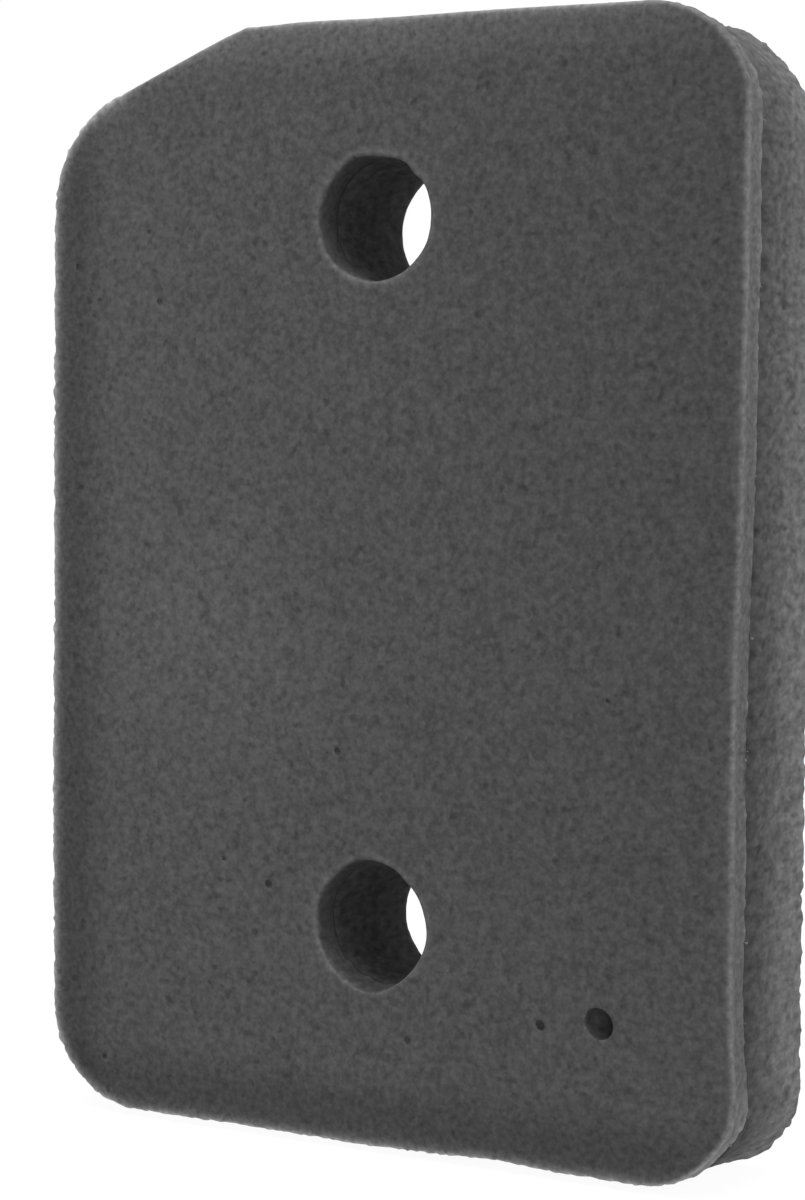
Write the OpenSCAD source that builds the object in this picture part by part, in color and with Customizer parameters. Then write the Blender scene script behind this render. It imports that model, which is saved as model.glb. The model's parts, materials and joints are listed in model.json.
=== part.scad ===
// Two-layer foam filter element for an air filter housing.
// The pad stands upright: X is its width, Z its height and Y its depth, with the fine face towards -Y.
// The origin is the bottom centre of the pad's bounding box.

/* [Pad outline] */
// Width of the pad
pad_w = 147; // [110:0.5:200]
// Height of the pad
pad_h = 207; // [170:1:260]
// Radius of the three plain corners
corner_r = 20; // [6:0.5:28]
// Width that the slanted cut takes off the upper left corner
slant_w = 44.5; // [30:0.5:55]
// Height that the slanted cut takes off the upper left corner
slant_h = 17.9; // [12:0.1:30]
// Radius where the slanted cut meets the left side
slant_side_r = 23.4; // [8:0.2:28]
// Radius where the slanted cut meets the top
slant_top_r = 3.5; // [3:0.5:8]

/* [Layers] */
// Thickness of the fine front layer
fine_t = 5.5; // [4:0.5:10]
// Thickness of the bond web between the two layers
web_t = 0.5; // [0.3:0.1:1]
// Thickness of the coarse back layer
coarse_t = 25; // [15:0.5:40]
// Radius of the soft edge round the fine face
face_edge_r = 2.5; // [1:0.25:2.75]
// How far the web and the coarse layer's seam edge stand back from the sides
seam_recess = 0.8; // [0.2:0.1:1.5]
// Depth of the coarse layer's set-back edge behind the web
seam_groove = 2.5; // [1:0.5:5]

/* [Peg holes] */
// Diameter of the two peg holes
peg_hole_d = 23; // [16:0.5:30]
// Height of the upper hole above the bottom edge
upper_hole_z = 171; // [150:0.5:180]
// Height of the lower hole above the bottom edge
lower_hole_z = 42; // [30:0.5:60]

/* [Foam voids] */
// Diameter of the larger void in the fine face
void_d = 5.7; // [3:0.1:7]
// Depth of the larger void along its own axis
void_depth = 3.5; // [2:0.5:4.5]
// Place of the larger void across and up the face
void_at = [47.8, 28.5]; // [-60:0.1:60]
// How far the larger void leans towards the left side
void_lean = 20; // [0:5:30]
// Diameter of the smaller void
small_void_d = 1.8; // [1:0.1:3]
// Depth of the smaller void
small_void_depth = 2.5; // [1:0.5:4]
// Place of the smaller void across and up the face
small_void_at = [35.9, 26.9]; // [-60:0.1:60]

/* [Hidden] */

// Every cut runs this far past the surface that it goes through.
cut_past = 1;
bore_fn = 96;
corner_fn = 96;
hull_fn = 32;
// Rows of facets across the soft edge's quarter round
edge_steps = 6;

pad_t = fine_t + web_t + coarse_t;
front_y = -pad_t / 2;
fine_back_y = front_y + fine_t;
web_back_y = fine_back_y + web_t;
groove_back_y = web_back_y + seam_groove;
back_y = pad_t / 2;

left_x = -pad_w / 2;
right_x = pad_w / 2;

// The outline's corners from the front, anticlockwise from the lower left: [x, z, radius].
corners = [
    [left_x, 0, corner_r],
    [right_x, 0, corner_r],
    [right_x, pad_h, corner_r],
    [left_x + slant_w, pad_h, slant_top_r],
    [left_x, pad_h - slant_h, slant_side_r]
];
last = len(corners) - 1;

function unit(v) = v / norm(v);
function point(i) = [corners[i][0], corners[i][1]];
function before(i) = point(i == 0 ? last : i - 1);
function after(i) = point(i == last ? 0 : i + 1);
// Directions of the two sides that meet at a corner, both walked anticlockwise
function side_in(i) = unit(point(i) - before(i));
function side_out(i) = unit(after(i) - point(i));
// Outward normal of a side walked anticlockwise
function outward(side) = [side[1], -side[0]];
// Half of the angle that the outline turns through at a corner
function half_turn(i) = acos(side_in(i) * side_out(i)) / 2;
// Centre of the round at a corner
function round_centre(i) =
    point(i) - side_in(i) * corners[i][2] * tan(half_turn(i)) - outward(side_in(i)) * corners[i][2];

hole_centres = [[0, upper_hole_z], [0, lower_hole_z]];

// The rounded outline, moved inwards by an inset: straight sides between true arcs
module outline(inset = 0) {
    polygon([for (i = [0:last]) each [
        round_centre(i) + outward(side_in(i)) * (corners[i][2] - inset),
        round_centre(i) + outward(side_out(i)) * (corners[i][2] - inset)
    ]]);
    for (i = [0:last])
        translate(round_centre(i)) circle(r = corners[i][2] - inset, $fn = corner_fn);
}

// Stands what is drawn flat upright: its face goes to y_low and its thickness runs back to y_high.
module upright(y_high) {
    translate([0, y_high, 0]) rotate([90, 0, 0]) children();
}

// A plate of the outline from y_low back to y_high
module plate(y_low, y_high, inset = 0) {
    upright(y_high) linear_extrude(y_high - y_low) outline(inset);
}

// Both peg holes, cut from y_low back to y_high
module peg_holes(y_low, y_high, grow = 0) {
    for (centre = hole_centres)
        upright(y_high + cut_past)
            translate(centre)
                cylinder(d = peg_hole_d + 2 * grow, h = y_high - y_low + 2 * cut_past, $fn = bore_fn);
}

// A disc with a quarter round at its top rim, which is the soft edge at one corner
module soft_disc(r) {
    rotate_extrude($fn = hull_fn)
        polygon(concat(
            [[0, 0], [r, 0]],
            [for (k = [0:edge_steps])
                let (a = 90 * k / edge_steps)
                [r - face_edge_r * (1 - cos(a)), fine_t - face_edge_r * (1 - sin(a))]],
            [[0, fine_t]]
        ));
}

// A round void that opens in the fine face and leans to one side
module face_void(place, d, depth, lean) {
    translate([place[0], front_y, place[1]])
        rotate([0, 0, lean])
            rotate([-90, 0, 0])
                translate([0, 0, -cut_past]) cylinder(d = d, h = depth + cut_past, $fn = bore_fn / 2);
}

// Fine-celled front layer with a soft rounded edge, two peg holes and two natural voids
module fine_foam_layer() {
    color([0.31, 0.31, 0.31])
        difference() {
            upright(fine_back_y)
                hull()
                    for (i = [0:last])
                        translate(round_centre(i)) soft_disc(corners[i][2]);
            peg_holes(front_y, fine_back_y);
            face_void(void_at, void_d, void_depth, void_lean);
            face_void(small_void_at, small_void_d, small_void_depth, 0);
        }
}

// Thin adhesive web that bonds the layers, set back from the sides and from the holes
module bond_web() {
    color([0.2, 0.2, 0.2])
        difference() {
            plate(fine_back_y, web_back_y, seam_recess);
            peg_holes(fine_back_y, web_back_y, seam_recess);
        }
}

// Coarse open-celled back layer, with its edge set back at the seam
module coarse_foam_layer() {
    color([0.37, 0.37, 0.37])
        difference() {
            union() {
                plate(web_back_y, groove_back_y, seam_recess);
                plate(groove_back_y, back_y);
            }
            peg_holes(web_back_y, back_y);
        }
}

fine_foam_layer();
bond_web();
coarse_foam_layer();
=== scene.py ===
"""Looks of the two-layer foam filter element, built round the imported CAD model.

Shapes are worked out in millimetres from the frame's boxes and mounts, and become metres in make_piece().
Both foams are closed meshes: rings round the outline and the holes, filled faces between them, and cells
pressed into every surface that shows.
"""

import json
import math

import bpy
import numpy as np
from mathutils import Matrix, Vector
from mathutils.geometry import delaunay_2d_cdt


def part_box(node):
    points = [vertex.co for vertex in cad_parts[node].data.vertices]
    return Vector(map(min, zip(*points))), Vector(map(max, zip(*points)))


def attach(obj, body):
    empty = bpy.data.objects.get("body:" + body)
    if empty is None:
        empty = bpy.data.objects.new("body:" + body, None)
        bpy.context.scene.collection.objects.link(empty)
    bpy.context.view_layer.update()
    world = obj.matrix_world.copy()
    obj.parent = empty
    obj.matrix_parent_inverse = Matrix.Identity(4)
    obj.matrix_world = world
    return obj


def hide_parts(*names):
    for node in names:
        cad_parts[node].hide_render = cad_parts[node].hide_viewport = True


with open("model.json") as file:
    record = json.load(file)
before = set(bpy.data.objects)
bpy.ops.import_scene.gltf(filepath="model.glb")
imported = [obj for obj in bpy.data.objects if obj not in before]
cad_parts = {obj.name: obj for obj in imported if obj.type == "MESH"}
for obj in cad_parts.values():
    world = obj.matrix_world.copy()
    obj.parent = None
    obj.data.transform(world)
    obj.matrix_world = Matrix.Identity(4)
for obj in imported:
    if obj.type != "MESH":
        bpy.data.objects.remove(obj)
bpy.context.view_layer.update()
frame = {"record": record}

MM = 0.001

# Places taken from the frame, in millimetres
fine_low, fine_high = (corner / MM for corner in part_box("fine_foam_layer"))
_, web_high = (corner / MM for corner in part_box("bond_web"))
_, coarse_high = (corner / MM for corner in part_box("coarse_foam_layer"))
WIDTH = fine_high.x - fine_low.x
HEIGHT = fine_high.z - fine_low.z
FRONT_Y = fine_low.y
THICK = coarse_high.y - FRONT_Y
FINE_BACK = fine_high.y - FRONT_Y
WEB_BACK = web_high.y - FRONT_Y
MOUNTS = {mount["name"]: mount for mount in frame["record"]["mounts"]}

# Outline: the plain corners' rounds differ a little, lower left, lower right and upper right
CORNER_R = (20.3, 18.2, 20.4)
SLANT_W = 44.5
SLANT_H = 17.9
SLANT_SIDE_R = 23.4
SLANT_TOP_R = 3.5

# Edge of the fine face: a tight round, and a slow roll-off that is weaker towards the right side
EDGE_R = 0.9
ROLL = 0.6
ROLL_LENGTH = 6.5
ROLL_FADES_AT = 50
ROLL_FADES_OVER = 20
ROLL_FADE = 0.8

# Side walls: the fine layer's lip at the seam, how it tucks in there as (inset, distance from its back),
# the set-back at the seam, and the hollows of the cut sides
LIP_LENGTH = 0.55
SEAM_INSET = 0.8
SEAM_TUCK = [(0.02, 0.2), (0.3, 0.04), (SEAM_INSET, 0)]
FINE_HOLLOW = 0.22
FINE_FLARE = 0.12
COARSE_HOLLOW = 0.45
GROOVE = 0.35
GROOVE_LENGTH = 2.2
BACK_EDGE_R = 0.5

# Peg holes' walls: the fine layer's rim, and the coarse layer's recess, which narrows towards the back
HOLE_TIGHTER = 0.1
HOLE_RIM_R = 0.7
HOLE_RECESS = 0.7
HOLE_RECESS_NARROWS = 0.6
HOLE_BACK_FLARE = 0.5

# Adhesive: how far it stands back from the sides and from the holes, and its point spacing
BOND_INSET = SEAM_INSET + 0.25
BOND_HOLE_INSET = 0.9
BOND_STEP = 2.0
NODULES = 90

# Spacing of the mesh points, and the rings kept between the face's round edge and its free net of points
FINE_STEP = 0.63
COARSE_FACE_STEP = 0.84
COARSE_WALL_STEP = 0.66
HIDDEN_STEP = 7.0
FACE_MARGIN = 1.2

# Peg holes: how far each one's back rim lies off its front rim, across and up. Strays are where its front
# rim leaves a true circle, and rags where the cut through the fine layer's back is rough. Both are
# (angle, width of the stray part in degrees, outward distance). The taper narrows the fine layer's bore.
HOLES = [
    {
        "mount": "peg_hole_upper",
        "shift": 0.0,
        "taper": 0.15,
        "skew": (-0.9, 0.0),
        "strays": [
            (-175, 50, 0.65),
            (-145, 25, 0.35),
            (-26, 24, 0.35),
            (43, 14, -0.6),
            (83, 28, -0.8),
            (118, 14, 0.3),
        ],
        "rags": [(100, 60, -0.4)],
    },
    {
        "mount": "peg_hole_lower",
        "shift": 0.4,
        "taper": -0.2,
        "skew": (1.1, -1.5),
        "strays": [
            (-110, 95, 1.15),
            (-92, 28, 0.65),
            (-15, 40, 0.35),
            (50, 20, -0.35),
            (105, 30, 0.45),
            (165, 30, 0.2),
        ],
        "rags": [(-132, 6, -0.6), (-108, 7, -0.7)],
    },
]
for hole in HOLES:
    hole["x"] = MOUNTS[hole["mount"]]["pos_m"][0] / MM
    hole["z"] = MOUNTS[hole["mount"]]["pos_m"][2] / MM
    hole["r"] = MOUNTS[hole["mount"]]["dims"]["r_mm"]

# Natural voids in the fine face: across, up, half width, half height, depth, lean to the left, how light
# the inside is painted, and how much painted shade darkens it from its middle to its right side
VOIDS = [
    (47.8, 28.5, 2.85, 2.85, 3.8, 1.0, 0.7, 0.8),
    (35.9, 26.9, 1.05, 1.05, 2.4, 0.3, 2.4, 0.2),
]
# Least and most painted light inside a void
PAINTED_VOID_LIGHT_LIMITS = (0.2, 2.7)

# Small pits in the fine face: across, up, radius, depth
PITS = [
    (-22.1, 47.4, 0.85, 0.8),
    (-66.9, 163.0, 0.75, 0.5),
    (-47.5, 156.2, 0.65, 0.5),
    (-7.0, 73.3, 0.75, 0.75),
    (-60.2, 10.0, 0.55, 0.4),
    (8.5, 21.0, 0.72, 0.62),
    (48.9, 85.8, 0.5, 0.42),
    (-50.0, 169.4, 0.5, 0.35),
    (-32.2, 51.4, 0.5, 0.45),
]
PIT_LEAN = 0.2

# Waves are smooth bumps along a side: (middle, width, size). The soft pad stands askew, with its front
# edge higher than its back, and its sides stray from the outline by these.
LEAN = 1.2
BOTTOM_RISE = (26, 14, 0.65)
BOTTOM_SAG = (-3, 22, 0.35)
BOTTOM_FRONT_LIFT = 0.4
TOP_SAG = (-27, 13, 0.55)
TOP_AND_BOTTOM_REACH = 25
LEFT_PULL = 0.35
RIGHT_STEP = 0.3
RIGHT_STEP_AT = 108
RIGHT_STEP_SPREAD = 15
RIGHT_HOLLOW = (105, 45, 0.35)
SWELL_AT = 8
SWELL_WIDTH = 30
FINE_SWELL = 1.6
FINE_PULL = 0.3

# The back's right corners are pulled in (upper) or pushed out (lower), and the fine layer's the other way
UPPER_BACK_PULL = -2.0
LOWER_BACK_PUSH = 0.9
UPPER_FINE_PUSH = 1.0
LOWER_FINE_PULL = 0.9

# The seam on the right side runs further back than in the frame, most of all at its swelling
SEAM_BACK = 0.25
SEAM_BACK_MORE = (70, 40, 1)
SEAM_BACK_AT_SWELL = 0.7
SEAM_WAVES_REACH = 5
SEAM_NICKS_REACH = 1.4

# How far a hole's skew and the strays of its rim reach into the foam round it, fading all the way
SKEW_REACH = 3.5
STRAY_REACH = 1.2

# Noise fields as (strength, seed, size of the lumps). A size is in millimetres, and is the same each way
# or given as (across, through, up).
FINE_GRAIN = [(0.6, 21, 0.95), (0.5, 22, 1.7)]
COARSE_GRAIN = [(1, 23, 1.1)]
BACK_TEETH = [(1, 24, 1.6), (1, 28, 0.9)]
LIP_TUFTS = [(1.3, 25, 1.2), (1, 26, 11)]
EDGE_TEETH = [(1, 27, (0.9, 4, 0.9))]
# Patches of painted shade along the seam
PAINTED_SEAM_SHADE_PATCHES = [(1, 29, (1.6, 9, 2.2))]
RIM_UNEVEN = [(0.12, 31, 5.0), (0.07, 32, 2.0)]
DRIFT_ACROSS = [(0.25, 41, (26, 40, 26))]
DRIFT_UP = [(0.25, 42, (26, 40, 26))]
SEAM_WAVES = [(0.15, 43, (6, 6, 3))]
SEAM_NICKS = [(0.38, 44, (2, 9, 1.2))]

# Seeds of the scattered points and of the cells
FINE_FACE_SEED = 11
FINE_BACK_SEED = 12
COARSE_BACK_SEED = 13
COARSE_FRONT_SEED = 14
BOND_SEED = 15
CELL_SEED = 51
NODULE_SEED = 61

# How far in from its side of the pad a point still counts as facing that side
FACING_REACH = 20

# Painted highlight along the face edge, a light fringe: how much lighter than the face it is in general, on
# each side and in the corners between two sides. It fades with the distance from the edge, more slowly on
# some sides.
PAINTED_FRINGE = 2.2
PAINTED_FRINGE_SIDES = {"low": 1.8, "left": 5.2, "right": -1.55, "high": -0.45}
PAINTED_FRINGE_CORNERS = {("high", "right"): -1.6, ("low", "right"): -2.4, ("high", "left"): 4.2}
PAINTED_FRINGE_LOW_RIGHT = (10, 25, 0.3)
PAINTED_FRINGE_MOST = 3.8
PAINTED_FRINGE_REACH = 0.65
PAINTED_FRINGE_REACH_SIDES = {"left": 0.1, "low": 0.05, "high": 0.2}

# Painted light and shade on the fine face: patches of painted light as (across, width, up, height,
# lightness), a painted light band along the top, and bands of painted shade along the bottom and the left
# side
PAINTED_FACE_PATCHES = [(-37, 40, 92, 36, 0.2), (-25, 40, 30, 40, 0.05)]
TOP_BAND = 5
PAINTED_TOP_LIGHT = 0.32
PAINTED_TOP_LIGHT_FALLS = 0.14
DARK_BAND = 7.2
PAINTED_BOTTOM_SHADE = 0.24
PAINTED_LEFT_SHADE = 0.32

# Painted light and shade of the peg holes in the fine layer: a painted highlight on the rims, painted shade
# in the bores, and painted light where a bore faces up
PAINTED_RIM_HIGHLIGHT = 0.34
PAINTED_BORE_SHADE = 0.46
PAINTED_BORE_FLOOR_LIGHT = 0.35

# Edge teeth: how far the fine layer's left and bottom edges are ragged
LEFT_RAGGED = 0.48
BOTTOM_RAGGED = 0.24

# Coarse foam's cells, longer through the pad than across it
CELL_SIZE = (1.7, 2.6, 1.7)
CELL_MARGIN = 3

# Bake maps: the size of each square map, and where a face and the side walls lie on it, in millimetres
FINE_MAP = 212
COARSE_MAP = 285
FACE_CHART = {"at": (0, 0)}
SIDE_CHART = {"at": (147, 1), "pieces": 4}

# Camera: turned, tipped and rolled in degrees, its target across and up from the face's middle, its
# distance from that, its focal length and its shift
CAMERA_TURN = (30.84, 4.45, 0.56)
CAMERA_TARGET = (6.74, -10.17)
CAMERA_AWAY = 566.7
CAMERA_LENS = 93.5
CAMERA_SHIFT_Y = 0.039

# Lights as name, place, width, height and watts, with places and sizes in metres
LIGHTS = [
    ("overhead", (0.1, -0.45, 1.4), 1.0, 1.0, 14),
    ("right", (1.5, -0.2, 0.5), 0.8, 1.2, 12),
]
FLOOR_HALF = 6.0
FLOOR_GREY = 0.06
FLOOR_GLOW = 0.95


def outline_corners():
    """The outline's corners seen from the front, anticlockwise from the lower left: (x, z, radius)."""
    left, right = -WIDTH / 2, WIDTH / 2
    return [
        (left, 0, CORNER_R[0]),
        (right, 0, CORNER_R[1]),
        (right, HEIGHT, CORNER_R[2]),
        (left + SLANT_W, HEIGHT, SLANT_TOP_R),
        (left, HEIGHT - SLANT_H, SLANT_SIDE_R),
    ]


def outline_rounds():
    """For each corner: the round's centre, its radius, and the directions of the sides that it joins."""
    corners = outline_corners()
    at = np.array([corner[:2] for corner in corners])
    rounds = []
    for i, (_, _, r) in enumerate(corners):
        side_in = at[i] - at[i - 1]
        side_out = at[(i + 1) % len(at)] - at[i]
        side_in /= np.linalg.norm(side_in)
        side_out /= np.linalg.norm(side_out)
        half_turn = math.acos(side_in @ side_out) / 2
        outward = np.array([side_in[1], -side_in[0]])
        centre = at[i] - side_in * r * math.tan(half_turn) - outward * r
        rounds.append((centre, r, side_in, side_out))
    return rounds


ROUNDS = outline_rounds()


def outline(step):
    """Evenly spaced points round the outline, and the outward direction at each."""
    points, normals = [], []
    for centre, r, side_in, side_out in ROUNDS:
        start = math.atan2(-side_in[0], side_in[1])
        turn = math.acos(side_in @ side_out)
        for angle in np.linspace(start, start + turn, 25):
            normal = np.array([math.cos(angle), math.sin(angle)])
            points.append(centre + normal * r)
            normals.append(normal)
    points, normals = np.array(points + points[:1]), np.array(normals + normals[:1])
    along = np.concatenate([[0], np.cumsum(np.linalg.norm(np.diff(points, axis=0), axis=1))])
    count = round(along[-1] / step)
    wanted = np.arange(count) * along[-1] / count
    points = np.stack([np.interp(wanted, along, points[:, k]) for k in (0, 1)], axis=1)
    normals = np.stack([np.interp(wanted, along, normals[:, k]) for k in (0, 1)], axis=1)
    return points, normals / np.linalg.norm(normals, axis=1, keepdims=True)


def circle(centre, r, step):
    """Points round a circle, anticlockwise seen from the front, and the outward direction at each."""
    count = round(2 * math.pi * r / step)
    angle = np.arange(count) * 2 * math.pi / count
    normals = np.stack([np.cos(angle), np.sin(angle)], axis=1)
    return np.array(centre) + normals * r, normals


def inner_distance(x, z):
    """How far each point lies inside the outline."""
    at = np.stack([x, z], axis=1)
    nearest = np.full(len(at), 1e9)
    for centre, r, side_in, _ in ROUNDS:
        outward = np.array([side_in[1], -side_in[0]])
        nearest = np.minimum(nearest, r - (at - centre) @ outward)
    for centre, r, side_in, side_out in ROUNDS:
        away = at - centre
        in_corner = (away @ side_in > 0) & (away @ side_out < 0)
        nearest = np.where(in_corner, r - np.linalg.norm(away, axis=1), nearest)
    return nearest


def facing(x, z):
    """How far the outline next to each point faces each side of the pad, from 0 to 1."""
    above = z - HEIGHT / 2
    across = np.sign(x) * np.clip(1 - (WIDTH / 2 - np.abs(x)) / FACING_REACH, 0, 1)
    up = np.sign(above) * np.clip(1 - (HEIGHT / 2 - np.abs(above)) / FACING_REACH, 0, 1)
    length = np.maximum(np.hypot(across, up), 1e-6)
    across, up = across / length, up / length
    sides = {"left": -across, "right": across, "low": -up, "high": up}
    return {side: np.maximum(far, 0) for side, far in sides.items()}


def roll(inset, x):
    """How far the fine face has rolled back at a distance inside the outline: less on the right side."""
    fade = 1 - ROLL_FADE * np.clip((x - ROLL_FADES_AT) / ROLL_FADES_OVER, 0, 1)
    return ROLL * np.exp(-np.maximum(inset, 0) / ROLL_LENGTH) * fade


class Cells:
    """Seeded points scattered one to a lattice cube: the middles of the foam's cells."""

    def __init__(self, seed, size, low, high):
        self.size = np.array(size, float)
        self.low = np.array(low, float) - 2 * self.size
        shape = np.ceil((np.array(high, float) - self.low) / self.size).astype(int) + 3
        rng = np.random.default_rng(seed)
        lattice = np.stack(np.meshgrid(*[np.arange(n) for n in shape], indexing="ij"), axis=-1)
        self.middles = self.low + (lattice + rng.uniform(0.08, 0.92, (*shape, 3))) * self.size
        self.chance = rng.uniform(0, 1, shape)

    def nearest(self, points):
        """Distance to the nearest and second nearest middle, and the nearest cell's own random number."""
        home = np.floor((points - self.low) / self.size).astype(int)
        first = np.full(len(points), 1e9)
        second = first.copy()
        chance = np.zeros(len(points))
        for step in np.ndindex(3, 3, 3):
            i, j, k = (home + np.array(step) - 1).T
            distance = np.linalg.norm((points - self.middles[i, j, k]) / self.size, axis=1)
            closer = distance < first
            second = np.where(closer, first, np.minimum(second, distance))
            chance = np.where(closer, self.chance[i, j, k], chance)
            first = np.minimum(first, distance)
        return first, second, chance


def smooth_noise(points, seed, size):
    """Seeded smooth noise from -1 to 1, with lumps of about the given size."""
    size = np.broadcast_to(np.array(size, float), (3,))
    scaled = points / size
    low = np.floor(scaled.min(axis=0)).astype(int) - 1
    high = np.ceil(scaled.max(axis=0)).astype(int) + 2
    values = np.random.default_rng(seed).uniform(-1, 1, tuple(high - low))
    home = np.floor(scaled).astype(int)
    part = scaled - home
    part = part * part * (3 - 2 * part)
    home = home - low
    total = np.zeros(len(points))
    for step in np.ndindex(2, 2, 2):
        weight = np.prod(np.where(step, part, 1 - part), axis=1)
        i, j, k = (home + np.array(step)).T
        total += weight * values[i, j, k]
    return total


def noises(points, fields):
    """The sum of several noise fields."""
    return sum(strength * smooth_noise(points, seed, lumps) for strength, seed, lumps in fields)


def bump(offset, width):
    """A smooth bump, 1 at no offset and near 0 past the width."""
    return np.exp(-((offset / width * 1.6) ** 2))


def wave(at, shape):
    """A smooth bump with a middle, a width and a size."""
    middle, width, size = shape
    return size * bump(at - middle, width)


def level(depth):
    """Gives every point of a face the same depth."""
    return lambda x, z: np.full(len(x), depth)


class Shell:
    """Collects the points, faces and bake coordinates of one closed piece."""

    def __init__(self):
        self.points = []
        self.count = 0
        self.faces = []
        self.coords = []

    def add(self, x, depth, z):
        """Adds points at x, z and a depth behind the fine face's plane, and returns their numbers."""
        points = np.stack(np.broadcast_arrays(x, FRONT_Y + depth, z), axis=1).astype(float)
        self.points.append(points)
        self.count += len(points)
        return np.arange(self.count - len(points), self.count)

    def places(self):
        return np.concatenate(self.points)

    def keep(self, faces, coords):
        self.faces.append(faces)
        self.coords.append(coords)

    def ring(self, loop, inset, depth):
        points, normals = loop
        at = points - normals * np.reshape(inset, (-1, 1))
        return self.add(at[:, 0], depth, at[:, 1])

    def band(self, rows, chart, outer=True):
        """Joins closed rings, front to back, into a wall. chart is where its pieces go for baking."""
        rows = np.array(rows)
        here, back = rows[:-1], rows[1:]
        here_next, back_next = np.roll(here, -1, axis=1), np.roll(back, -1, axis=1)
        at = self.places()
        step = np.linalg.norm(at[rows[0][1]] - at[rows[0][0]])
        down = np.linalg.norm(np.diff(at[rows[:, 0]], axis=0), axis=1)
        down = np.concatenate([[0], np.cumsum(down)])
        columns = np.arange(rows.shape[1])
        piece_columns = math.ceil(rows.shape[1] / chart["pieces"])
        piece, column = columns // piece_columns, columns % piece_columns
        across = chart["at"][0] + piece * (down[-1] + 1.5)
        u = across[None, :] + down[:, None]
        v = chart["at"][1] + column * step + np.zeros((len(rows), 1))
        corner = np.stack([u, v], axis=-1)
        corner_next = np.stack([u, v + step], axis=-1)
        faces = [here, back, back_next, here_next]
        coords = [corner[:-1], corner[1:], corner_next[1:], corner_next[:-1]]
        if not outer:
            faces, coords = faces[::-1], coords[::-1]
        self.keep(
            np.stack(faces, axis=-1).reshape(-1, 4),
            np.stack(coords, axis=-2).reshape(-1, 4, 2),
        )

    def fill(self, outer, holes, step, depth, margin, chart, seed, front=True):
        """Fills a face, inside its outer ring and round the holes, with an uneven net of triangles."""
        at = self.places()
        loops = [outer, *holes]
        low, high = at[outer].min(axis=0), at[outer].max(axis=0)
        row_step = step * math.sqrt(3) / 2
        z, x = np.meshgrid(
            np.arange(low[2], high[2], row_step), np.arange(low[0], high[0], step), indexing="ij"
        )
        x = x + (np.arange(len(x)) % 2)[:, None] * step / 2
        rng = np.random.default_rng(seed)
        x = x.ravel() + rng.uniform(-0.24, 0.24, x.size) * step
        z = z.ravel() + rng.uniform(-0.24, 0.24, z.size) * step
        clear = inner_distance(x, z) > margin
        for hole in holes:
            centre = at[hole].mean(axis=0)
            half = (at[hole].max(axis=0) - at[hole].min(axis=0)) / 2 + 0.6 * step
            clear &= np.hypot((x - centre[0]) / half[0], (z - centre[2]) / half[2]) > 1
        x, z = x[clear], z[clear]
        inner = self.add(x, depth(x, z), z)
        numbers = np.concatenate([*loops, inner])
        at = self.places()[numbers][:, [0, 2]]
        edges, loop_of = [], np.full(len(numbers), -1)
        start = 0
        for k, loop in enumerate(loops):
            local = np.arange(start, start + len(loop))
            edges += list(zip(local.tolist(), np.roll(local, -1).tolist()))
            loop_of[local] = k
            start += len(loop)
        found = delaunay_2d_cdt([Vector(p) for p in at.tolist()], edges, [], 0, 1e-7)
        origin = np.array([first[0] for first in found[3]])
        triangles = origin[np.array(found[2])]
        owner = loop_of[triangles]
        in_hole = (owner[:, 0] > 0) & (owner[:, 0] == owner[:, 1]) & (owner[:, 0] == owner[:, 2])
        triangles = triangles[~in_hole]
        if not front:
            triangles = triangles[:, ::-1]
        coords = np.array(chart["at"]) + (at[triangles] - at.min(axis=0)) * chart.get("scale", 1)
        self.keep(numbers[triangles], coords)

    def pocket(self, x, z, rx, rz, depth_at, depth, lean, step):
        """A round-bottomed void that leans to the left as it deepens. Returns its rim ring."""
        count = max(10, round(math.pi * (rx + rz) / step))
        angle = np.arange(count) * 2 * math.pi / count
        rows = max(3, round(depth / step))
        rings = []
        for part in np.arange(rows) / rows:
            shrink = math.sqrt(1 - part**2.6)
            across = x - lean * part + (np.cos(angle) * rx - 0.1 * np.sin(angle) * rz) * shrink
            up = z + np.sin(angle) * rz * shrink
            rings.append(self.add(across, depth_at + depth * part, up))
        bottom = self.add(np.array([x - lean]), depth_at + depth, np.array([z]))[0]
        here, back = np.array(rings[:-1]), np.array(rings[1:])
        here_next, back_next = np.roll(here, -1, axis=1), np.roll(back, -1, axis=1)
        walls = np.stack([here, here_next, back_next, back], axis=-1).reshape(-1, 4)
        fan = np.stack([rings[-1], np.roll(rings[-1], -1), np.full(count, bottom)], axis=-1)
        for faces in (walls, fan):
            self.keep(faces, self.places()[faces][:, :, [0, 2]] + (WIDTH / 2, 0))
        return rings[0]


def into_corner(x, past, r):
    """How far each point lies past the middle of a right-hand corner's round, across and up or down."""
    return np.clip(np.stack([x - WIDTH / 2, past], axis=1) + r, 0, None)


def warp_holes(points, at, depth, in_fine, fine_back):
    """Skews the holes and makes their rims uneven."""
    for hole in HOLES:
        dx, dz = points[:, 0] - hole["x"], points[:, 2] - hole["z"]
        distance = np.hypot(dx, dz)
        outside = np.maximum(distance - hole["r"], 0)
        too_far = distance > 3 * hole["r"]
        near = np.where(too_far, 0, np.exp(-outside / SKEW_REACH))
        at_rim = np.where(too_far, 0, np.exp(-outside / STRAY_REACH))
        angle = np.degrees(np.arctan2(dz, dx))
        stray = noises(points, RIM_UNEVEN)
        for key, share in (("strays", in_fine * (1 - fine_back)), ("rags", in_fine * fine_back**2)):
            for place, width, far in hole[key]:
                stray = stray + share * far * bump((angle - place + 180) % 360 - 180, width)
        unit = np.stack([dx, dz], axis=1) / np.maximum(distance, 1e-6)[:, None]
        at[:, 0] += at_rim * unit[:, 0] * stray + near * (hole["skew"][0] * depth + hole["shift"])
        at[:, 2] += at_rim * unit[:, 1] * stray + near * hole["skew"][1] * depth


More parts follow.
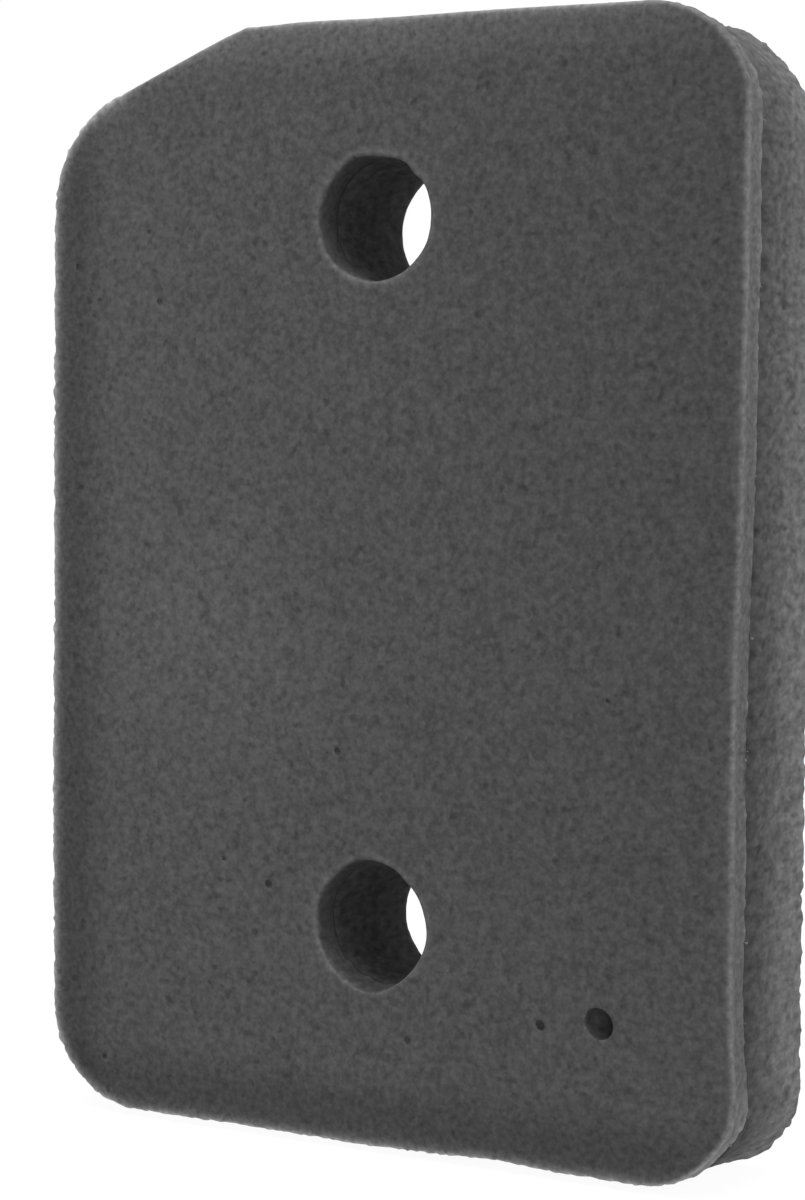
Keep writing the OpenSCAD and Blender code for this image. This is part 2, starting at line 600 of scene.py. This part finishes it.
def warp_back_corners(x, z, at, depth):
    """Pulls or pushes the right-hand corners, more towards the back and towards the right side."""
    upper = (1, z - HEIGHT, CORNER_R[2], UPPER_BACK_PULL)
    lower = (-1, -z, CORNER_R[1], LOWER_BACK_PUSH)
    for up, past, r, far in (upper, lower):
        unit = into_corner(x, past, r)
        unit /= np.maximum(np.linalg.norm(unit, axis=1), 1)[:, None]
        push = far * depth * (2 * unit[:, 0] * unit[:, 1]) ** 0.7 * (0.3 + 0.9 * unit[:, 0])
        at[:, 0] += push * unit[:, 0]
        at[:, 2] += push * unit[:, 1] * up


def warp_fine_corners(x, z, at, in_fine, fine_back):
    """Pushes the fine layer's upper right corner out, mostly sideways, and pulls its lower right one in."""
    unit = into_corner(x, z - HEIGHT, CORNER_R[2]) / CORNER_R[2]
    push = UPPER_FINE_PUSH * in_fine * (1 - 0.15 * fine_back) * unit.prod(axis=1) ** 0.5
    at[:, 0] += push * unit[:, 0]
    at[:, 2] += 0.3 * push * unit[:, 1]
    unit = into_corner(x, -z, CORNER_R[1]) / CORNER_R[1]
    pull = LOWER_FINE_PULL * in_fine * (0.6 + 0.4 * fine_back) * (2 * unit.prod(axis=1)) ** 2
    pull *= np.clip((unit[:, 0] - 0.45) / 0.3, 0, 1)
    at[:, 0] -= pull * unit[:, 0]
    at[:, 2] += pull * unit[:, 1]


def warp(points):
    """The pad as it really lies: leaning, with wavy sides and skewed, uneven holes."""
    at = points.copy()
    x, z = points[:, 0], points[:, 2]
    behind = points[:, 1] - FRONT_Y
    depth = behind / THICK
    in_fine = np.clip((WEB_BACK - behind) / (WEB_BACK - FINE_BACK), 0, 1)
    fine_back = np.clip(behind / FINE_BACK, 0, 1)
    warp_holes(points, at, depth, in_fine, fine_back)
    right = np.clip(x / (WIDTH / 2), 0, 1) ** 3
    at[:, 0] += RIGHT_STEP * np.tanh((z - RIGHT_STEP_AT) / RIGHT_STEP_SPREAD) * right
    at[:, 0] += LEFT_PULL * np.clip(-x / (WIDTH / 2), 0, 1) ** 3
    low = np.clip(1 - z / TOP_AND_BOTTOM_REACH, 0, 1) ** 2
    high = np.clip(1 - (HEIGHT - z) / TOP_AND_BOTTOM_REACH, 0, 1) ** 2
    at[:, 2] += low * (wave(x, BOTTOM_RISE) - wave(x, BOTTOM_SAG) + BOTTOM_FRONT_LIFT * (1 - depth))
    at[:, 2] -= high * wave(x, TOP_SAG)
    warp_back_corners(x, z, at, depth)
    swell = right * bump(z - SWELL_AT, SWELL_WIDTH)
    at[:, 0] += in_fine * (FINE_SWELL * swell - FINE_PULL * right)
    at[:, 0] -= right * depth**2 * wave(z, RIGHT_HOLLOW)
    seam_back = SEAM_BACK_AT_SWELL * swell + SEAM_BACK * right * (1 + wave(z, SEAM_BACK_MORE))
    seam_back += noises(points, SEAM_WAVES)
    at[:, 1] += seam_back * bump(behind - FINE_BACK, SEAM_WAVES_REACH)
    at[:, 1] += noises(points, SEAM_NICKS) * bump(behind - FINE_BACK, SEAM_NICKS_REACH)
    warp_fine_corners(x, z, at, in_fine, fine_back)
    at[:, 0] += noises(points, DRIFT_ACROSS)
    at[:, 2] += noises(points, DRIFT_UP)
    at[:, 2] += LEAN * (1 - depth)
    at[:, 2] = np.maximum(at[:, 2], 0)
    return at


def make_piece(name, shell, press, bake_size):
    """Turns a shell into an object. press gives each point's push along its normal, how deep in a cell it
    is, and how light it is painted, its painted light and shade."""
    mesh = bpy.data.meshes.new(name)
    faces = [face for block in shell.faces for face in block.tolist()]
    points = shell.places()
    mesh.from_pydata((points * MM).tolist(), [], faces)
    coords = np.concatenate([block.reshape(-1, 2) for block in shell.coords]) / bake_size
    layer = mesh.uv_layers.new(name="OFBake")
    layer.data.foreach_set("uv", coords.astype(np.float32).ravel())
    normals = np.zeros(len(points) * 3, np.float32)
    mesh.vertex_normals.foreach_get("vector", normals)
    push, pit, painted_shading = press(points)
    points = warp(points + normals.reshape(-1, 3) * push[:, None])
    mesh.vertices.foreach_set("co", (points * MM).astype(np.float32).ravel())
    for label, values in (("pit", pit), ("painted_shading", painted_shading)):
        attribute = mesh.attributes.new(label, "FLOAT", "POINT")
        attribute.data.foreach_set("value", values.astype(np.float32))
    mesh.shade_smooth()
    mesh.update()
    piece = bpy.data.objects.new(name, mesh)
    bpy.context.scene.collection.objects.link(piece)
    return piece


def hole_distance(points):
    """How far each point lies outside the nearest peg hole's wall, across the face."""
    nearest = np.full(len(points), 1e9)
    for hole in HOLES:
        from_middle = np.hypot(points[:, 0] - hole["x"], points[:, 2] - hole["z"])
        nearest = np.minimum(nearest, from_middle - hole["r"])
    return nearest


def hole_loops(grow, step):
    """Rings of points round the peg holes, grown by a distance."""
    return [circle((hole["x"], hole["z"]), hole["r"] + grow, step) for hole in HOLES]


def fine_rows(points):
    """The fine layer's side as (inset, depth): soft edge, hollow wall, lip, and the tuck into the seam."""
    x = points[:, 0]
    rows = [(inset, roll(inset, x)) for inset in (EDGE_R + FACE_MARGIN, EDGE_R + FACE_MARGIN / 2)]
    for angle in np.radians(np.linspace(0, 90, 6)):
        inset = EDGE_R * (1 - math.sin(angle))
        rows.append((inset, EDGE_R * (1 - math.cos(angle)) + roll(inset, x)))
    wall_top = rows[-1][1]
    lip = FINE_BACK - LIP_LENGTH
    for part in np.linspace(0, 1, 6)[1:]:
        inset = FINE_HOLLOW * math.sin(math.pi * part) - FINE_FLARE * part
        rows.append((inset, wall_top + (lip - wall_top) * part))
    rows += [(inset, FINE_BACK - ahead) for inset, ahead in SEAM_TUCK]
    return rows


def fine_hole_rows(taper):
    """A peg hole's wall in the fine layer as (inset, depth): round rim, then straight to the back."""
    rows = []
    for angle in np.radians(np.linspace(0, 90, 4)):
        rows.append((-HOLE_RIM_R * (1 - math.sin(angle)), HOLE_RIM_R * (1 - math.cos(angle))))
    for part in np.linspace(0, 1, 9)[1:]:
        rows.append((taper * part, HOLE_RIM_R + (FINE_BACK - HOLE_RIM_R) * part))
    return rows


def painted_edge_highlight(z, faces, from_edge):
    """The painted highlight along the face edge: how much lighter than the face its edge is."""
    light = PAINTED_FRINGE + sum(share * faces[side] for side, share in PAINTED_FRINGE_SIDES.items())
    light += sum(share * faces[a] * faces[b] for (a, b), share in PAINTED_FRINGE_CORNERS.items())
    light -= faces["right"] * wave(z, PAINTED_FRINGE_LOW_RIGHT)
    reach = PAINTED_FRINGE_REACH + sum(share * faces[side] for side, share in PAINTED_FRINGE_REACH_SIDES.items())
    return np.minimum(light * np.exp(-np.maximum(from_edge, 0) / reach), PAINTED_FRINGE_MOST)


def painted_face_light(x, z):
    """The fine face's painted light and shade: a slope across it, patches, and bands along three of its
    sides.
    """
    painted_shading = 1.0 - 0.12 * np.clip(x / 60, -1, 1) * np.clip(0.3 + z / HEIGHT, 0, 1)
    for across, width, up, height, light in PAINTED_FACE_PATCHES:
        painted_shading += light * bump(x - across, width) * bump(z - up, height)
    top = np.clip(2.0 + (z - HEIGHT) / TOP_BAND, 0, 1) * np.clip((x + 50) / 15, 0, 1)
    painted_shading += (PAINTED_TOP_LIGHT - PAINTED_TOP_LIGHT_FALLS * np.clip(x / 50, 0, 1)) * top
    painted_shading -= PAINTED_BOTTOM_SHADE * np.clip(2 - z / DARK_BAND, 0, 1)
    painted_shading -= PAINTED_LEFT_SHADE * np.clip(2 - (x + WIDTH / 2) / DARK_BAND, 0, 1)
    return painted_shading


def paint_hole_light_and_shade(points, depth, painted_shading):
    """Paints a highlight on the peg holes' rims and shade down their bores, less so where a bore faces up.
    """
    in_hole = hole_distance(points)
    rim = bump(in_hole - 0.6, 1.2) * (depth < 0.5)
    bore = np.clip((0.35 - in_hole) / 0.35, 0, 1) * np.clip(0.3 + depth / 2, 0, 1) * (0.65 + 0.07 * depth)
    facing_up = np.zeros(len(points))
    for hole in HOLES:
        drop = hole["z"] - points[:, 2]
        facing_up += np.clip(drop / hole["r"], 0, 1) * (drop < hole["r"] + 1.5)
    painted_shading = (painted_shading + PAINTED_RIM_HIGHLIGHT * rim) * (1 - PAINTED_BORE_SHADE * bore)
    return painted_shading * (1 + PAINTED_BORE_FLOOR_LIGHT * facing_up * (bore > 0))


def paint_void_light_and_shade(x, z, behind_face, painted_shading):
    """Paints the light and shade inside the two voids."""
    for at_x, at_z, rx, rz, _, _, light, fall in VOIDS:
        inside = (np.hypot((x - at_x) / rx, (z - at_z) / rz) < 1.6) & behind_face
        painted_shading = np.where(inside, painted_shading * np.clip(light - fall * (x - at_x) / rx, *PAINTED_VOID_LIGHT_LIMITS), painted_shading)
    return painted_shading


def press_fine(points):
    """The fine layer's surface: faint grain, ragged edges, a tufted lip with a painted highlight, and its
    painted light and shade.
    """
    x, z = points[:, 0], points[:, 2]
    depth = points[:, 1] - FRONT_Y
    inset = inner_distance(x, z)
    face_depth = roll(inset, x)
    faces = facing(x, z)
    side = np.clip(1 - inset / EDGE_R, 0, 1)
    lip = bump(depth - FINE_BACK + 0.35, 1.0) * (inset < 0.6)
    tuft = noises(points, LIP_TUFTS)
    # Painted light on the side wall: lighter towards the top and near the bottom, and round the lower right
    # corner
    painted_side_light = 0.35 + 0.5 * (z / HEIGHT) ** 4 + 0.7 * bump(z - 2, 9)
    painted_side_light += 2.0 * faces["low"] * faces["right"]
    from_edge = inset + np.maximum(depth - face_depth - 0.45, 0)
    # The face's painted light and shade, the painted light on its side wall, and the painted highlight
    # along its edge
    painted_shading = painted_face_light(x, z) + painted_side_light * side + painted_edge_highlight(z, faces, from_edge)
    # Painted highlight along the seam lip, broken up in tufts
    painted_shading += 0.45 * lip * (0.4 + 1.1 * tuft)
    painted_shading = paint_hole_light_and_shade(points, depth, painted_shading)
    painted_shading = paint_void_light_and_shade(x, z, depth > face_depth + 0.15, painted_shading)
    ragged = LEFT_RAGGED * faces["left"] + BOTTOM_RAGGED * faces["low"]
    push = 0.035 * noises(points, FINE_GRAIN) + 0.24 * lip * tuft
    push += ragged * side * noises(points, EDGE_TEETH)
    shown = np.clip((FINE_BACK - depth) / 0.5, 0, 1)
    return shown * push, np.zeros(len(points)), painted_shading


def fine_layer():
    shell = Shell()
    loop = outline(FINE_STEP)
    rows = [shell.ring(loop, inset, depth) for inset, depth in fine_rows(loop[0])]
    hole_rows = []
    for hole, hole_loop in zip(HOLES, hole_loops(-HOLE_TIGHTER, FINE_STEP)):
        profile = fine_hole_rows(hole["taper"])
        hole_rows.append([shell.ring(hole_loop, inset, depth) for inset, depth in profile])
    hollows = [void[:6] for void in VOIDS]
    hollows += [(x, z, r, r, depth, PIT_LEAN) for x, z, r, depth in PITS]
    pockets = []
    for x, z, rx, rz, depth, lean in hollows:
        depth_at = float(roll(inner_distance(np.array([x]), np.array([z])), x)[0])
        pockets.append(shell.pocket(x, z, rx, rz, depth_at, depth, lean, FINE_STEP * 0.75))
    shell.band(rows, SIDE_CHART)
    for k, ring_rows in enumerate(hole_rows):
        shell.band(ring_rows, {"at": (190 + 8 * k, 1), "pieces": 1}, outer=False)
    shell.fill(
        rows[0],
        [ring_rows[0] for ring_rows in hole_rows] + pockets,
        FINE_STEP,
        lambda x, z: roll(inner_distance(x, z), x),
        EDGE_R + FACE_MARGIN + 0.55 * FINE_STEP,
        FACE_CHART,
        FINE_FACE_SEED,
    )
    shell.fill(
        rows[-1],
        [ring_rows[-1] for ring_rows in hole_rows],
        HIDDEN_STEP,
        level(FINE_BACK),
        SEAM_INSET + 0.5 * HIDDEN_STEP,
        {"at": (190, 80), "scale": 0.12},
        FINE_BACK_SEED,
        front=False,
    )
    return make_piece("fine_foam_pad", shell, press_fine, FINE_MAP)


def coarse_rows():
    """The coarse layer's side as (inset, depth): set back at the seam, hollow wall, crisp back edge."""
    rows = [(SEAM_INSET, WEB_BACK)]
    tall = THICK - BACK_EDGE_R - WEB_BACK
    count = round(tall / COARSE_WALL_STEP)
    for k in range(1, count + 1):
        part = k / count
        groove = (SEAM_INSET + GROOVE) * math.exp(-((part * tall / GROOVE_LENGTH) ** 2))
        rows.append((groove + COARSE_HOLLOW * math.sin(math.pi * part ** 0.9), WEB_BACK + tall * part))
    for angle in np.radians(np.linspace(0, 90, 3)[1:]):
        rows.append((BACK_EDGE_R * (1 - math.cos(angle)), THICK - BACK_EDGE_R * (1 - math.sin(angle))))
    return rows


def coarse_hole_rows():
    """A peg hole's wall in the coarse layer as (inset, depth): it narrows towards the back, then flares."""
    rows = []
    count = round((THICK - WEB_BACK) / COARSE_WALL_STEP)
    for k in range(count + 1):
        part = k / count
        recess = -HOLE_RECESS * (1 - HOLE_RECESS_NARROWS * part)
        rows.append((recess, WEB_BACK + (THICK - WEB_BACK - 0.2) * part))
    rows.append((recess - HOLE_BACK_FLARE, THICK))
    return rows


def coarse_press(cells):
    """The coarse layer's surface: open cells between ridges, a toothed back edge, and its painted light and
    shade.
    """

    def press(points):
        depth = points[:, 1] - FRONT_Y
        near, second, chance = cells.nearest(points)
        open_cell = np.clip(1 - near / 0.62, 0, 1) ** 0.8 * (0.45 + 0.55 * chance)
        ridge = np.clip(1 - (second - near) / 0.25, 0, 1)
        grain = noises(points, COARSE_GRAIN)
        in_hole = np.clip((2.0 - hole_distance(points)) / 0.5, 0, 1)
        teeth = noises(points, BACK_TEETH) * bump(depth - THICK, 4) * (1 - in_hole)
        push = 0.1 + 0.03 * ridge - 0.16 * open_cell * (1 - 0.7 * in_hole) + 0.06 * grain + 0.32 * teeth
        bore = in_hole * np.clip((THICK - depth) / 1.5, 0, 1)
        # Painted light and shade: shade fading back from the seam and deepening low down, patches of shade
        # along the seam, light towards the back edge and along the back rim
        painted_seam_shade = np.clip(1.12 - (depth - WEB_BACK) / 17, 0, 1)
        painted_back_rim_light = bump(depth - THICK, 3.5) * (inner_distance(points[:, 0], points[:, 2]) < 2.5)
        low = np.clip(1.2 - points[:, 2] / HEIGHT, 0, 1)
        pocket = np.clip(noises(points, PAINTED_SEAM_SHADE_PATCHES), 0, 1) * bump(depth - WEB_BACK - 0.6, 1.8)
        painted_shading = 0.2 * np.clip((depth - 14) / 14, 0, 1) - (0.27 + 0.4 * low) * painted_seam_shade - 0.35 * pocket
        painted_shading = 1.22 + 0.1 * in_hole + (1 - in_hole) * (painted_shading + 0.2 * painted_back_rim_light * (1 + grain))
        # Painted shade deeper down the peg holes
        painted_shading *= (1 - 0.3 * bore) * np.exp(-0.023 * in_hole * (depth - WEB_BACK))
        shown = np.clip((depth - WEB_BACK) / 0.5, 0, 1)
        return shown * push, np.clip(open_cell, 0, 1), painted_shading

    return press


def coarse_layer():
    shell = Shell()
    loop = outline(COARSE_WALL_STEP)
    rows = [shell.ring(loop, inset, depth) for inset, depth in coarse_rows()]
    hole_rows = []
    for hole_loop in hole_loops(0, COARSE_WALL_STEP):
        hole_rows.append([shell.ring(hole_loop, inset, depth) for inset, depth in coarse_hole_rows()])
    shell.band(rows, SIDE_CHART)
    for k, ring_rows in enumerate(hole_rows):
        shell.band(ring_rows, {"at": (1 + 30 * k, 209), "pieces": 1}, outer=False)
    shell.fill(
        rows[0],
        [ring_rows[0] for ring_rows in hole_rows],
        HIDDEN_STEP,
        level(WEB_BACK),
        SEAM_INSET + 0.5 * HIDDEN_STEP,
        {"at": (150, 209), "scale": 0.25},
        COARSE_FRONT_SEED,
    )
    shell.fill(
        rows[-1],
        [ring_rows[-1] for ring_rows in hole_rows],
        COARSE_FACE_STEP,
        level(THICK),
        BACK_EDGE_R + 0.55 * COARSE_FACE_STEP,
        FACE_CHART,
        COARSE_BACK_SEED,
        front=False,
    )
    low = (-WIDTH / 2 - CELL_MARGIN, FRONT_Y, -CELL_MARGIN)
    high = (WIDTH / 2 + CELL_MARGIN, coarse_high.y + CELL_MARGIN, HEIGHT + CELL_MARGIN)
    cells = Cells(CELL_SEED, CELL_SIZE, low, high)
    return make_piece("coarse_foam_pad", shell, coarse_press(cells), COARSE_MAP)


def bond_sheet():
    """The thin sheet of adhesive between the foams."""
    shell = Shell()
    loop = outline(BOND_STEP)
    rows = [shell.ring(loop, BOND_INSET, depth) for depth in (FINE_BACK, WEB_BACK)]
    hole_rows = [
        [shell.ring(hole_loop, -BOND_HOLE_INSET, depth) for depth in (FINE_BACK, WEB_BACK)]
        for hole_loop in hole_loops(0, BOND_STEP)
    ]
    shell.band(rows, SIDE_CHART)
    for k, ring_rows in enumerate(hole_rows):
        shell.band(ring_rows, {"at": (170 + 5 * k, 1), "pieces": 1}, outer=False)
    for row, depth, front in ((0, FINE_BACK, True), (1, WEB_BACK, False)):
        shell.fill(
            rows[row],
            [ring_rows[row] for ring_rows in hole_rows],
            HIDDEN_STEP,
            level(depth),
            BOND_INSET + 0.5 * HIDDEN_STEP,
            FACE_CHART if front else {"at": (150, 180), "scale": 0.12},
            BOND_SEED,
            front=front,
        )
    return shell


def ball(rings=4, sides=8):
    """A unit ball: its points, and its triangles as numbers into them."""
    points, triangles = [(0, -1, 0)], []
    for a in np.arange(1, rings) * math.pi / rings:
        for b in np.arange(sides) * 2 * math.pi / sides:
            points.append((math.sin(a) * math.cos(b), -math.cos(a), math.sin(a) * math.sin(b)))
    points.append((0, 1, 0))
    last = len(points) - 1
    for j in range(sides):
        n = (j + 1) % sides
        triangles.append((0, 1 + j, 1 + n))
        for k in range(rings - 2):
            low, high = 1 + k * sides, 1 + (k + 1) * sides
            triangles += [(low + j, high + j, high + n), (low + j, high + n, low + n)]
        triangles.append((last - sides + j, last, last - sides + n))
    return np.array(points), np.array(triangles)


def add_nodules(shell):
    """Small beads of adhesive squeezed out along the seam."""
    rng = np.random.default_rng(NODULE_SEED)
    points, normals = outline(0.5)
    unit, triangles = ball()
    for k in rng.integers(len(points), size=NODULES):
        lump = unit * rng.uniform(0.12, 0.3)
        lump = lump * rng.uniform(0.7, 1.6, 3)
        lump = lump * rng.uniform(0.6, 1.3, (len(unit), 1))
        at = points[k] - normals[k] * rng.uniform(0.0, 0.4)
        depth = FINE_BACK + rng.uniform(-0.25, 0.3)
        numbers = shell.add(at[0] + lump[:, 0], depth + lump[:, 1], at[1] + lump[:, 2])
        shell.keep(numbers[triangles], unit[triangles][:, :, [0, 2]] * 3 + (195, 195))


def bond_piece():
    """The adhesive: the thin sheet, and the nodules along its edge. Its surface is plain."""
    shell = bond_sheet()
    add_nodules(shell)

    def press(points):
        return np.zeros(len(points)), np.zeros(len(points)), np.ones(len(points))

    return make_piece("bond_adhesive", shell, press, FINE_MAP)


def node(tree, kind, **values):
    made = tree.nodes.new(kind)
    for key, value in values.items():
        if key in made.inputs:
            made.inputs[key].default_value = value
        else:
            setattr(made, key, value)
    return made


def math_node(tree, operation, a, b=0.0, clamp=False):
    made = node(tree, "ShaderNodeMath", operation=operation, use_clamp=clamp)
    for socket, value in zip(made.inputs, (a, b)):
        if isinstance(value, (int, float)):
            socket.default_value = value
        else:
            tree.links.new(value, socket)
    return made.outputs[0]


def noise(tree, place, size_mm, detail=2.0):
    """Smooth noise in the pad's own space, with lumps of about size_mm. Gives 0 to 1, 0.5 on average."""
    made = node(tree, "ShaderNodeTexNoise", Scale=1 / (size_mm * MM), Detail=detail, Roughness=0.55)
    tree.links.new(place, made.inputs["Vector"])
    return made.outputs["Fac"]


def blend(tree, value, share):
    """Turns a 0 to 1 value into a factor round 1 that strays by the given share."""
    made = math_node(tree, "MULTIPLY_ADD", value, share)
    made.node.inputs[2].default_value = 1 - share / 2
    return made


def foam_material(name, grey, lump_mm, mottle, fleck, bump_mm, painted_cell_shade, squeeze):
    """Matt open-cell foam: mottled grey, with small dark flecks, painted shade inside the cells, faintly
    bumpy.
    """
    material = bpy.data.materials.new(name)
    material.use_nodes = True
    tree = material.node_tree
    shader = tree.nodes["Principled BSDF"]
    mapping = node(tree, "ShaderNodeMapping", Scale=(1, squeeze, 1))
    tree.links.new(node(tree, "ShaderNodeTexCoord").outputs["Object"], mapping.inputs["Vector"])
    place = mapping.outputs["Vector"]
    lumps = noise(tree, place, lump_mm, 1.5)
    grains = noise(tree, place, lump_mm * 0.45, 1.0)
    patch = noise(tree, place, 40.0, 1.0)
    spots = noise(tree, place, lump_mm * 1.3, 0.5)
    spots = math_node(tree, "MULTIPLY_ADD", spots, -9.0, True)
    spots.node.inputs[2].default_value = 3.1
    pit = node(tree, "ShaderNodeAttribute", attribute_name="pit").outputs["Fac"]
    # Painted light and shade from the pieces, as a factor on the grey
    painted_shading = node(tree, "ShaderNodeAttribute", attribute_name="painted_shading").outputs["Fac"]
    shade = math_node(tree, "MULTIPLY", painted_shading, grey)
    for value, share in ((lumps, mottle), (grains, 0.35 * mottle), (patch, 0.12)):
        shade = math_node(tree, "MULTIPLY", shade, blend(tree, value, share))
    for value, share in ((spots, fleck), (pit, painted_cell_shade)):
        dark = math_node(tree, "MULTIPLY_ADD", value, -share)
        dark.node.inputs[2].default_value = 1.0
        shade = math_node(tree, "MULTIPLY", shade, dark)
    colour = node(tree, "ShaderNodeCombineColor")
    for socket in colour.inputs[:3]:
        tree.links.new(shade, socket)
    tree.links.new(colour.outputs["Color"], shader.inputs["Base Color"])
    shader.inputs["Roughness"].default_value = 0.95
    made = node(tree, "ShaderNodeBump", Strength=0.5, Distance=bump_mm * MM)
    tree.links.new(lumps, made.inputs["Height"])
    tree.links.new(made.outputs["Normal"], shader.inputs["Normal"])
    shader.inputs["Specular IOR Level"].default_value = 0.1
    return material


def adhesive_material():
    material = bpy.data.materials.new("bond_adhesive")
    material.use_nodes = True
    tree = material.node_tree
    shader = tree.nodes["Principled BSDF"]
    place = node(tree, "ShaderNodeTexCoord").outputs["Object"]
    lumps = noise(tree, place, 1.5, 2.0)
    shade = math_node(tree, "MULTIPLY_ADD", lumps, 0.08)
    shade.node.inputs[2].default_value = 0.05
    colour = node(tree, "ShaderNodeCombineColor")
    for socket in colour.inputs[:3]:
        tree.links.new(shade, socket)
    tree.links.new(colour.outputs["Color"], shader.inputs["Base Color"])
    shader.inputs["Roughness"].default_value = 0.6
    return material


def make_camera():
    yaw, pitch, roll_angle = (math.radians(a) for a in CAMERA_TURN)
    target = Vector((CAMERA_TARGET[0], FRONT_Y, HEIGHT / 2 + CAMERA_TARGET[1] + LEAN))
    ahead = Vector((-math.sin(yaw) * math.cos(pitch), math.cos(yaw) * math.cos(pitch), -math.sin(pitch)))
    right = Vector((math.cos(yaw), math.sin(yaw), 0))
    up = right.cross(ahead)
    across = right * math.cos(roll_angle) + up * math.sin(roll_angle)
    upward = up * math.cos(roll_angle) - right * math.sin(roll_angle)
    data = bpy.data.cameras.new("camera")
    data.lens = CAMERA_LENS
    data.shift_y = CAMERA_SHIFT_Y
    data.clip_start = 0.01
    camera = bpy.data.objects.new("camera", data)
    axes = Matrix((across, upward, -ahead)).transposed().to_4x4()
    camera.matrix_world = Matrix.Translation((target - ahead * CAMERA_AWAY) * MM) @ axes
    bpy.context.scene.collection.objects.link(camera)
    bpy.context.scene.camera = camera


def make_floor():
    mesh = bpy.data.meshes.new("floor")
    corners = [(x * FLOOR_HALF, y * FLOOR_HALF, 0) for x, y in ((-1, -1), (1, -1), (1, 1), (-1, 1))]
    mesh.from_pydata(corners, [], [(0, 1, 2, 3)])
    floor = bpy.data.objects.new("floor", mesh)
    bpy.context.scene.collection.objects.link(floor)
    material = bpy.data.materials.new("floor")
    material.use_nodes = True
    shader = material.node_tree.nodes["Principled BSDF"]
    shader.inputs["Base Color"].default_value = (FLOOR_GREY, FLOOR_GREY, FLOOR_GREY, 1)
    shader.inputs["Roughness"].default_value = 1.0
    shader.inputs["Specular IOR Level"].default_value = 0.0
    shader.inputs["Emission Color"].default_value = (1, 1, 1, 1)
    shader.inputs["Emission Strength"].default_value = FLOOR_GLOW
    mesh.materials.append(material)


def area_light(name, place, target, width, height, watts):
    data = bpy.data.lights.new(name, "AREA")
    data.shape = "RECTANGLE"
    data.size, data.size_y = width, height
    data.energy = watts
    light = bpy.data.objects.new(name, data)
    light.location = place
    light.rotation_euler = (Vector(target) - Vector(place)).to_track_quat("-Z", "Y").to_euler()
    bpy.context.scene.collection.objects.link(light)


def make_lights():
    world = bpy.data.worlds.new("studio")
    bpy.context.scene.world = world
    world.use_nodes = True
    world.node_tree.nodes["Background"].inputs["Color"].default_value = (1, 1, 1, 1)
    world.node_tree.nodes["Background"].inputs["Strength"].default_value = 1.0
    middle = (0, 0, HEIGHT / 2 * MM)
    for name, place, width, height, watts in LIGHTS:
        area_light(name, place, middle, width, height, watts)
    bpy.context.scene.view_settings.view_transform = "Standard"


make_camera()
make_floor()
make_lights()

fine = fine_layer()
coarse = coarse_layer()
bond = bond_piece()
fine.data.materials.append(
    foam_material(
        "fine_foam",
        grey=0.057,
        lump_mm=1.25,
        mottle=1.15,
        fleck=0.25,
        bump_mm=0.12,
        painted_cell_shade=0.0,
        squeeze=1.0,
    )
)
coarse.data.materials.append(
    foam_material(
        "coarse_foam",
        grey=0.07,
        lump_mm=1.5,
        mottle=1.5,
        fleck=0.3,
        bump_mm=0.15,
        painted_cell_shade=0.35,
        squeeze=0.55,
    )
)
bond.data.materials.append(adhesive_material())
for piece, cad_node, slot in (
    (fine, "fine_foam_layer", "fine_foam"),
    (coarse, "coarse_foam_layer", "coarse_foam"),
    (bond, "bond_web", "bond_adhesive"),
):
    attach(piece, "root")
    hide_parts(cad_node)
